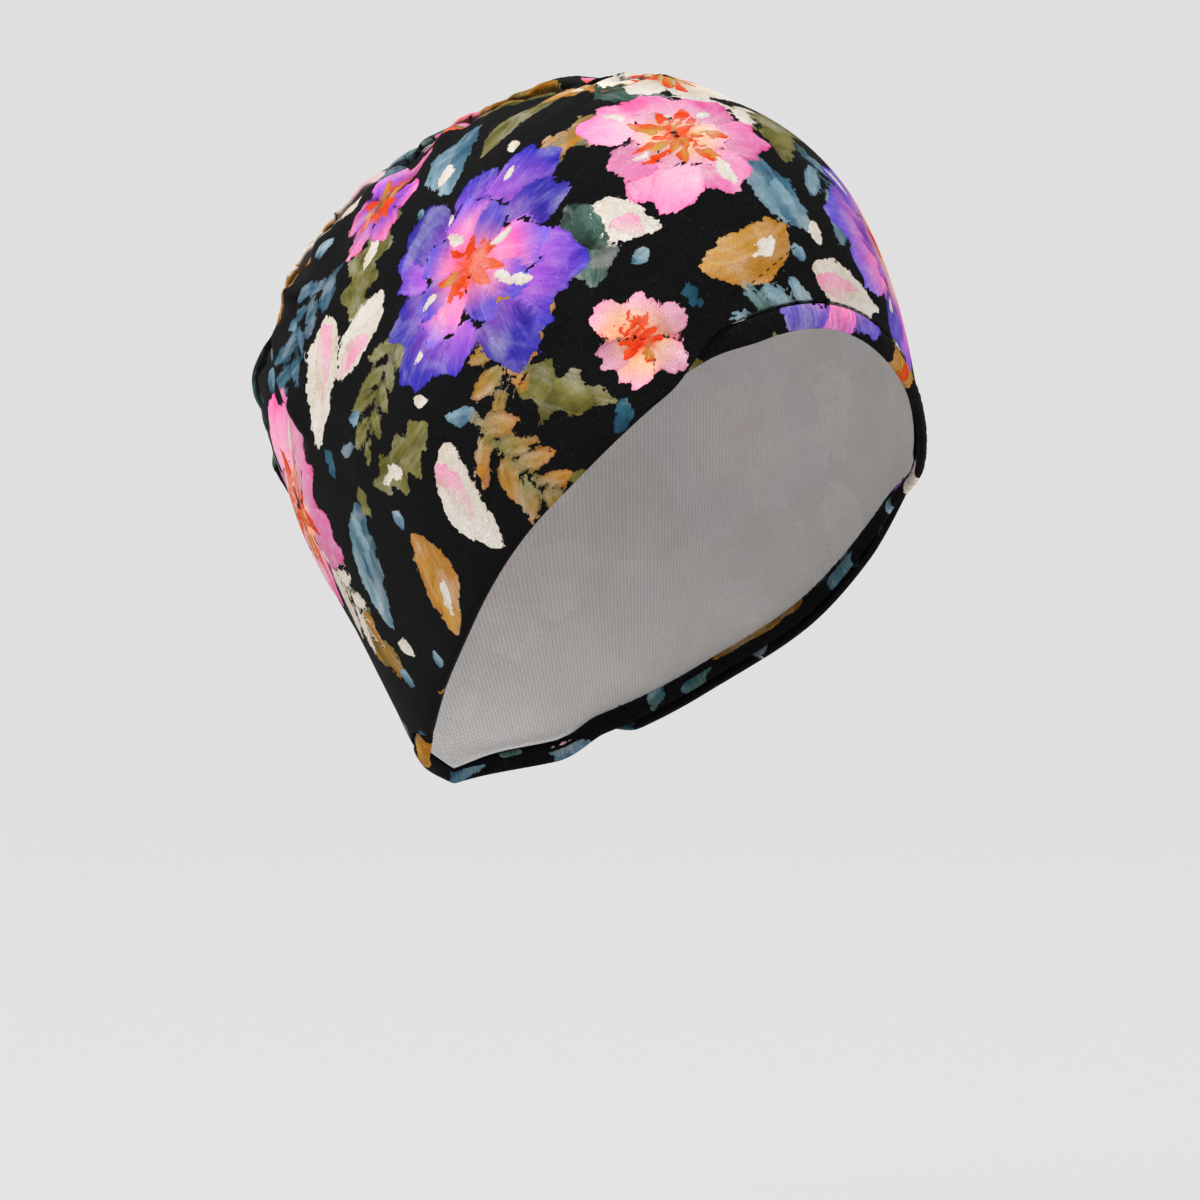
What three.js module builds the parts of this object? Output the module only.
// A soft comfort cap: one gathered crown of stretch jersey and the folded hem round its opening.
// Millimetres. The wearer faces -Y, the wearer's right is -X and +Z is up.
// The origin is where the top of the head meets the inside of the crown.
import * as THREE from 'three';

// Cloth and hem
const CLOTH = 1.6; // wall of the crown
const HEM_WIDTH = 7.0; // from the free edge up to the stitch line
const HEM_THICK = 2.8; // the hem is a double fold
const HEM_PROUD = 0.5; // how far the hem's middle stands out from the crown's middle
const SEAM_GAP = 0.5; // between the hem and the crown's cut edge

// Form of the worn crown
const CENTRE_DEPTH = 95; // every section is measured from this far below the origin
const RIDGE_SPREAD = 80; // degrees either side of the back seam over which its ridge dies away
const RIDGE_LEAN = 18; // how far the fullest part of the ridge flops to the wearer's right

// Mesh
const COLUMNS = 72; // round the head
const RINGS = 21; // from the crown's top to its cut edge
const HEM_SIDES = 8;

// One row for each section of the crown. angle is from straight up, in degrees. front, side and back are
// the radii of the head form there, and ridge is how much further out the back seam stands.
const SECTIONS = [
  { angle: 0, front: 95, side: 95, back: 95, ridge: 0 },
  { angle: 20, front: 92, side: 90.5, back: 93.5, ridge: 8 },
  { angle: 40, front: 87.5, side: 84.5, back: 91.5, ridge: 23.5 },
  { angle: 60, front: 80.5, side: 78.5, back: 88, ridge: 44 },
  { angle: 80, front: 76, side: 78, back: 85.5, ridge: 62 },
  { angle: 100, front: 78.5, side: 81, back: 86, ridge: 50 },
  { angle: 120, front: 77, side: 83.5, back: 92, ridge: 34 },
  { angle: 140, front: 74, side: 92.5, back: 107, ridge: 22 },
  { angle: 160, front: 70, side: 107.5, back: 125, ridge: 16 },
];

// The free edge: azimuth is from the middle of the forehead, angle is from straight up, both in degrees.
const EDGE = [
  { azimuth: 0, angle: 74 },
  { azimuth: 30, angle: 84 },
  { azimuth: 60, angle: 110 },
  { azimuth: 90, angle: 134 },
  { azimuth: 120, angle: 144.5 },
  { azimuth: 150, angle: 147 },
  { azimuth: 180, angle: 144.5 },
];

// The main folds that the gathers leave. azimuth and angle place the middle of each one, a negative azimuth
// is on the wearer's right, length and width are in millimetres, and turn is from level, in degrees.
const FOLDS = [
  { azimuth: -158, angle: 41, length: 34, width: 9, turn: 14, depth: 4.0 },
  { azimuth: -157, angle: 56, length: 38, width: 9, turn: 20, depth: 3.0 },
  { azimuth: -160, angle: 69, length: 38, width: 10, turn: 24, depth: 3.0 },
  { azimuth: -153, angle: 90, length: 62, width: 15, turn: 84, depth: 5.5 },
  { azimuth: 160, angle: 33, length: 34, width: 9, turn: -12, depth: 3.0 },
  { azimuth: 158, angle: 50, length: 36, width: 9, turn: -18, depth: 3.5 },
  { azimuth: 158, angle: 66, length: 38, width: 10, turn: -24, depth: 3.0 },
  { azimuth: 154, angle: 88, length: 60, width: 18, turn: -80, depth: 3.5 },
];

const RADIANS = Math.PI / 180;
const STEP = 0.5; // degrees, for measuring slopes
const ridgePeak = Math.max(...SECTIONS.map((row) => row.ridge));

// A smooth curve through one column of a table whose rows are evenly spaced. It is level at the first row,
// and at the last row too where levelEnd says so.
function smooth(rows, place, column, at, levelEnd = false) {
  const spacing = rows[1][place] - rows[0][place];
  const last = rows.length - 1;
  const slope = (i) => {
    if (i === 0 || (i === last && levelEnd)) return 0;
    const next = Math.min(i + 1, last);
    return (rows[next][column] - rows[i - 1][column]) / ((next - i + 1) * spacing);
  };
  const i = Math.min(Math.floor((at - rows[0][place]) / spacing), last - 1);
  const t = (at - rows[i][place]) / spacing;
  const from = rows[i][column];
  const to = rows[i + 1][column];
  return from + (to - from) * t * t * (3 - 2 * t)
    + spacing * t * (1 - t) * (slope(i) * (1 - t) - slope(i + 1) * t);
}

// An azimuth brought between -180 and 180 degrees.
function wrap(azimuth) {
  return azimuth - 360 * Math.round(azimuth / 360);
}

// How far the folds press the cloth in at one place.
function foldDepth(azimuth, angle) {
  return FOLDS.reduce((sum, fold) => {
    const east = wrap(azimuth - fold.azimuth) * RADIANS * Math.sin(fold.angle * RADIANS) * CENTRE_DEPTH;
    const south = (angle - fold.angle) * RADIANS * CENTRE_DEPTH;
    const cos = Math.cos(fold.turn * RADIANS);
    const sin = Math.sin(fold.turn * RADIANS);
    const along = (east * cos + south * sin) / (fold.length / 2);
    const across = (south * cos - east * sin) / (fold.width / 2);
    return sum + fold.depth * Math.exp(-along * along - across * across);
  }, 0);
}

// A point on the inside face of the cloth.
function insidePoint(azimuth, angle) {
  const [front, side, back, ridge] = ['front', 'side', 'back', 'ridge']
    .map((column) => smooth(SECTIONS, 'angle', column, angle));
  const ahead = Math.cos(azimuth * RADIANS);
  const aside = Math.sin(azimuth * RADIANS);
  const head = 1 / Math.hypot(ahead / (ahead >= 0 ? front : back), aside / side);
  const fromSeam = 180 - Math.abs(wrap(azimuth));
  const share = Math.max(0, 1 - fromSeam / RIDGE_SPREAD) ** 2;
  const radius = head + ridge * share - foldDepth(azimuth, angle);
  const level = radius * Math.sin(angle * RADIANS);
  return new THREE.Vector3(
    level * aside - RIDGE_LEAN * share * ridge / ridgePeak,
    -level * ahead,
    radius * Math.cos(angle * RADIANS) - CENTRE_DEPTH,
  );
}

// The directions at one place on the cloth: out of it, down it, and round it towards the wearer's left.
function directions(azimuth, angle) {
  const down = insidePoint(azimuth, angle + STEP).sub(insidePoint(azimuth, Math.max(angle - STEP, 0)));
  const round = insidePoint(azimuth + STEP, angle).sub(insidePoint(azimuth - STEP, angle));
  const out = new THREE.Vector3().crossVectors(down, round).normalize();
  const perDegree = down.length() / (2 * STEP);
  return { out, down: down.normalize(), round: round.normalize(), perDegree };
}

function edgeAngle(azimuth) {
  return smooth(EDGE, 'azimuth', 'angle', Math.abs(wrap(azimuth)), true);
}

// The frame of the hem at one azimuth: its place on the free edge, and the ways along it, up the cloth
// at a right angle to it, and out.
function edgeFrame(azimuth) {
  const angle = edgeAngle(azimuth);
  const place = insidePoint(azimuth, angle);
  const after = insidePoint(azimuth + STEP, edgeAngle(azimuth + STEP));
  const before = insidePoint(azimuth - STEP, edgeAngle(azimuth - STEP));
  const along = after.sub(before).normalize();
  const { out, down, perDegree } = directions(azimuth, angle);
  const up = new THREE.Vector3().crossVectors(out, along).normalize();
  if (up.dot(down) > 0) up.negate();
  return { angle, place, along, up, out, perDegree, steepness: -up.dot(down) };
}

// The angle at which the cloth is a given distance above the free edge, measured across the hem.
function angleAbove(azimuth, distance) {
  const frame = edgeFrame(azimuth);
  return frame.angle - distance / frame.steepness / frame.perDegree;
}

function azimuthOf(column, columns) {
  return -180 + (360 * column) / columns;
}

function meshOf(name, points, triangles, look) {
  const geometry = new THREE.BufferGeometry();
  geometry.setAttribute('position', new THREE.Float32BufferAttribute(points.flatMap((p) => p.toArray()), 3));
  geometry.setIndex(triangles);
  geometry.computeVertexNormals();
  const mesh = new THREE.Mesh(geometry, new THREE.MeshStandardMaterial(look));
  mesh.name = name;
  return mesh;
}

// The crown: an outer and an inner face from one point at the top down to the cut edge, which joins them.
function makeCrown() {
  const points = [];
  const triangles = [];
  const index = (face, ring, column) => face * (1 + RINGS * COLUMNS)
    + (ring === 0 ? 0 : 1 + (ring - 1) * COLUMNS + (column % COLUMNS));
  for (const offset of [CLOTH, 0]) {
    points.push(new THREE.Vector3(0, 0, offset));
    for (let ring = 1; ring <= RINGS; ring += 1) {
      for (let column = 0; column < COLUMNS; column += 1) {
        const azimuth = azimuthOf(column, COLUMNS);
        const angle = angleAbove(azimuth, HEM_WIDTH + SEAM_GAP) * (ring / RINGS);
        points.push(insidePoint(azimuth, angle).addScaledVector(directions(azimuth, angle).out, offset));
      }
    }
  }
  const quad = (a, b, c, d) => triangles.push(a, b, c, a, c, d);
  for (let column = 0; column < COLUMNS; column += 1) {
    const next = column + 1;
    triangles.push(index(0, 0, 0), index(0, 1, column), index(0, 1, next));
    triangles.push(index(1, 0, 0), index(1, 1, next), index(1, 1, column));
    for (let ring = 1; ring < RINGS; ring += 1) {
      const below = ring + 1;
      quad(index(0, ring, column), index(0, below, column), index(0, below, next), index(0, ring, next));
      quad(index(1, ring, column), index(1, ring, next), index(1, below, next), index(1, below, column));
    }
    quad(index(0, RINGS, column), index(1, RINGS, column), index(1, RINGS, next), index(0, RINGS, next));
  }
  return meshOf('crown', points, triangles, { color: 0x1d1e23, roughness: 0.92, metalness: 0 });
}

// The hem: a flat rounded section carried once round the free edge.
function makeEdgeBand() {
  const points = [];
  const triangles = [];
  const section = [];
  for (let side = 0; side < HEM_SIDES; side += 1) {
    const turn = ((side + 0.5) * 2 * Math.PI) / HEM_SIDES;
    const rounding = 0.5 / Math.cos(Math.PI / HEM_SIDES);
    section.push({ up: rounding * Math.sin(turn) * HEM_WIDTH, out: rounding * Math.cos(turn) * HEM_THICK });
  }
  for (let column = 0; column < COLUMNS; column += 1) {
    const azimuth = azimuthOf(column, COLUMNS);
    const middle = angleAbove(azimuth, HEM_WIDTH / 2);
    const centre = insidePoint(azimuth, middle);
    const { up, out } = edgeFrame(azimuth);
    centre.addScaledVector(out, CLOTH / 2 + HEM_PROUD);
    for (const corner of section) {
      points.push(centre.clone().addScaledVector(up, corner.up).addScaledVector(out, corner.out));
    }
  }
  const index = (column, side) => (column % COLUMNS) * HEM_SIDES + (side % HEM_SIDES);
  for (let column = 0; column < COLUMNS; column += 1) {
    for (let side = 0; side < HEM_SIDES; side += 1) {
      const a = index(column, side);
      const b = index(column + 1, side);
      const c = index(column + 1, side + 1);
      const d = index(column, side + 1);
      triangles.push(a, b, c, a, c, d);
    }
  }
  return meshOf('edge_band', points, triangles, { color: 0x232026, roughness: 0.9, metalness: 0 });
}

const cap = new THREE.Group();
cap.name = 'comfort_cap';
cap.add(makeCrown(), makeEdgeBand());

export default cap;
